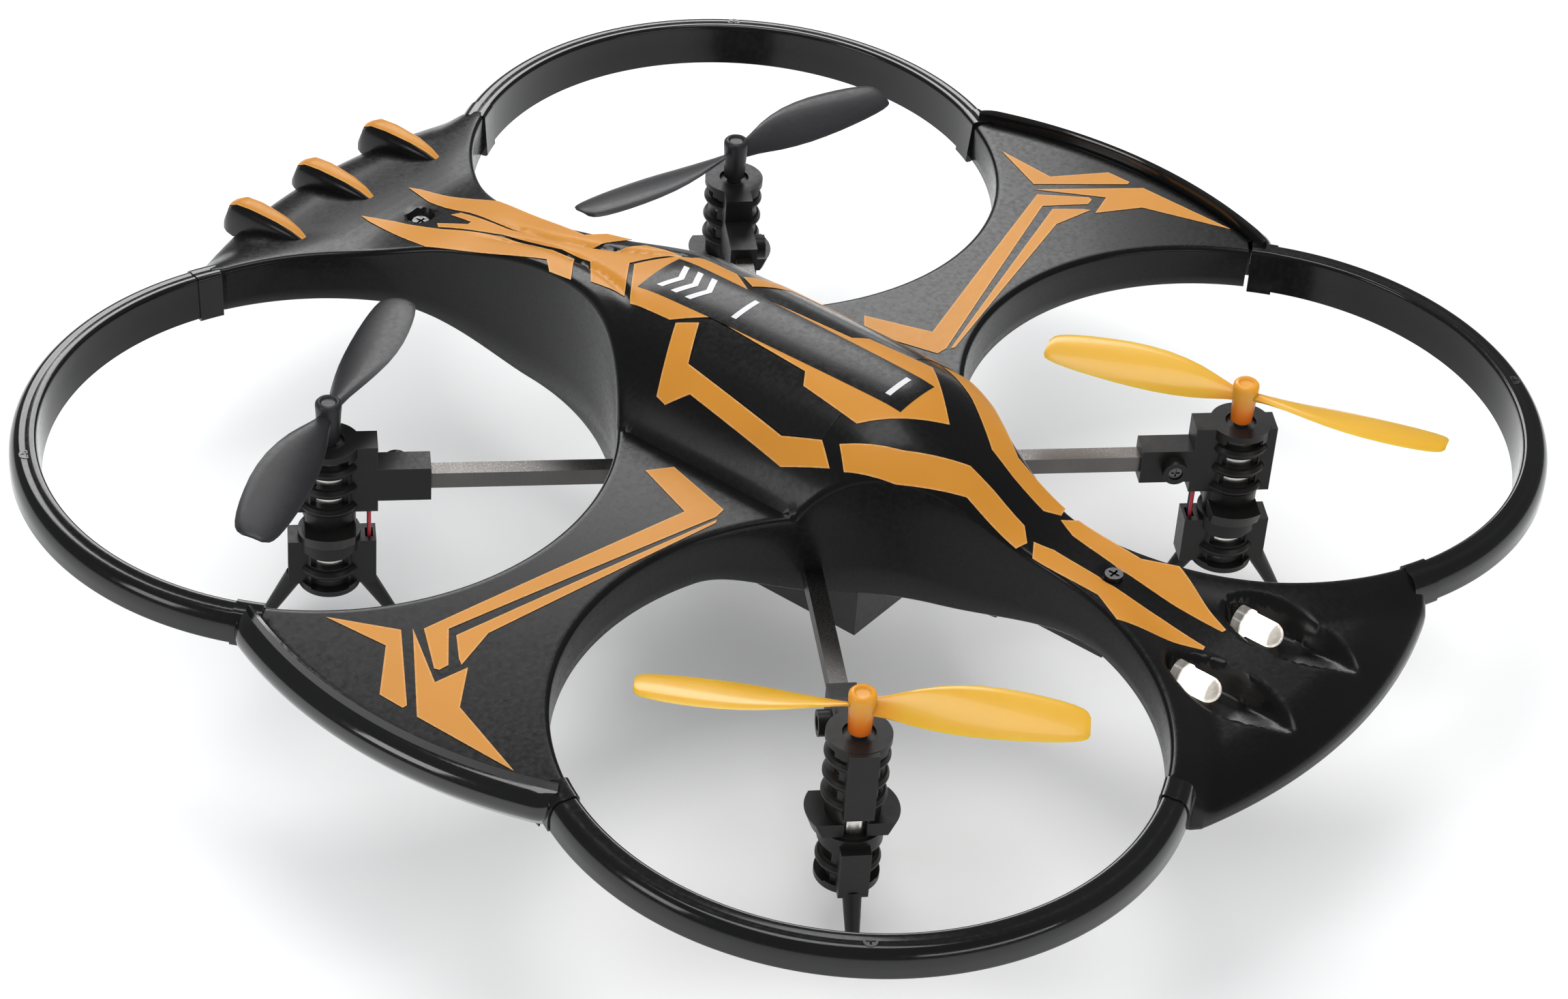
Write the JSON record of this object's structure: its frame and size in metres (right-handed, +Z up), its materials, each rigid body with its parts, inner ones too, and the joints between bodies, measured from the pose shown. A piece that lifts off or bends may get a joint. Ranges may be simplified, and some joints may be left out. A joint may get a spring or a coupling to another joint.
{
  "type": "toy quadcopter",
  "caption": "Toy quadcopter with guard rings round two-blade propellers, a domed canopy, diagonal arm tubes and a motor pod with splayed legs on each arm.",
  "frame": {"origin": "on the ground plane, midway between the four motor axes", "axes": "+Z up along the motor shafts, -Y towards the nose with the two lamps, +X towards the craft's own left side"},
  "size_m": [0.259, 0.2646, 0.0699],
  "materials": {
    "shell_black": "semi-gloss moulded black",
    "bumper_gloss": "high-gloss moulded black",
    "chassis_black": "fine satin texture",
    "pod_black": "satin moulded black",
    "arm_metal": "dark drawn tube, satin",
    "motor_metal": "bright drawn can",
    "cap_black": "matte",
    "wire_red": "silicone insulation, one red and one dark lead in each pair",
    "wire_black": "soft insulation",
    "shaft_steel": "ground",
    "prop_yellow": "translucent satin yellow, orange at the hub",
    "prop_black": "satin",
    "screw_steel": "dark zinc",
    "led_clear": "clear epoxy lamp",
    "trim_orange": "printed film, satin",
    "label_dark": "printed film, satin",
    "board_green": "solder mask",
    "chip_black": "epoxy",
    "battery_wrap": "shrink wrap",
    "switch_metal": "plated",
    "switch_black": "matte"
  },
  "bodies": {
    "airframe": {"upper_shell": "shell_black", "lower_shell": "chassis_black", "bumper_left": "bumper_gloss", "bumper_right": "bumper_gloss", "ring_guard_fl": "shell_black", "ring_guard_fr": "shell_black", "ring_guard_rl": "shell_black", "ring_guard_rr": "shell_black", "arm_hub": "chassis_black", "arm_tube_fl": "arm_metal", "arm_tube_fr": "arm_metal", "arm_tube_rl": "arm_metal", "arm_tube_rr": "arm_metal", "motor_holder_fl": "pod_black", "motor_holder_fr": "pod_black", "motor_holder_rl": "pod_black", "motor_holder_rr": "pod_black", "foot_housing_fl": "pod_black", "foot_housing_fr": "pod_black", "foot_housing_rl": "pod_black", "foot_housing_rr": "pod_black", "motor_can_fl": "motor_metal", "motor_can_fr": "motor_metal", "motor_can_rl": "motor_metal", "motor_can_rr": "motor_metal", "motor_cap_fl": "cap_black", "motor_cap_fr": "cap_black", "motor_cap_rl": "cap_black", "motor_cap_rr": "cap_black", "motor_wires_fl": "wire_red", "motor_wires_fr": "wire_red", "motor_wires_rl": "wire_red", "motor_wires_rr": "wire_red", "shell_screws": "screw_steel", "ring_screws": "screw_steel", "clamp_screws": "screw_steel", "headlight_leds": "led_clear", "sticker_canopy": "trim_orange", "sticker_nose": "trim_orange", "sticker_tail": "trim_orange", "sticker_left": "trim_orange", "sticker_right": "trim_orange", "canopy_label": "label_dark", "circuit_board": "board_green", "board_chips": "chip_black", "antenna_wire": "wire_black", "battery": "battery_wrap", "battery_lead": "wire_red", "switch_body": "switch_metal"},
    "rotor_fl": {"propeller_fl": "prop_yellow", "motor_shaft_fl": "shaft_steel"},
    "rotor_fr": {"propeller_fr": "prop_yellow", "motor_shaft_fr": "shaft_steel"},
    "rotor_rl": {"propeller_rl": "prop_black", "motor_shaft_rl": "shaft_steel"},
    "rotor_rr": {"propeller_rr": "prop_black", "motor_shaft_rr": "shaft_steel"},
    "battery_door": {"battery_door": "chassis_black"},
    "switch_slider": {"switch_slider": "switch_black"}
  },
  "joints": [
    {"name": "rotor_fl_spin", "type": "hinge", "parent": "airframe", "child": "rotor_fl", "pos_m": [0.065, -0.066, 0.052], "axis": [0, 0, 1], "continuous": true},
    {"name": "rotor_fr_spin", "type": "hinge", "parent": "airframe", "child": "rotor_fr", "pos_m": [-0.065, -0.066, 0.052], "axis": [0, 0, 1], "continuous": true},
    {"name": "rotor_rl_spin", "type": "hinge", "parent": "airframe", "child": "rotor_rl", "pos_m": [0.065, 0.066, 0.052], "axis": [0, 0, 1], "continuous": true},
    {"name": "rotor_rr_spin", "type": "hinge", "parent": "airframe", "child": "rotor_rr", "pos_m": [-0.065, 0.066, 0.052], "axis": [0, 0, 1], "continuous": true},
    {"name": "battery_door_slide", "type": "slide", "parent": "airframe", "child": "battery_door", "axis": [0, 1, 0], "range_m": [0, 0.03]},
    {"name": "power_switch_slide", "type": "slide", "parent": "airframe", "child": "switch_slider", "axis": [0, 1, 0], "range_m": [0, 0.003]}
  ]
}
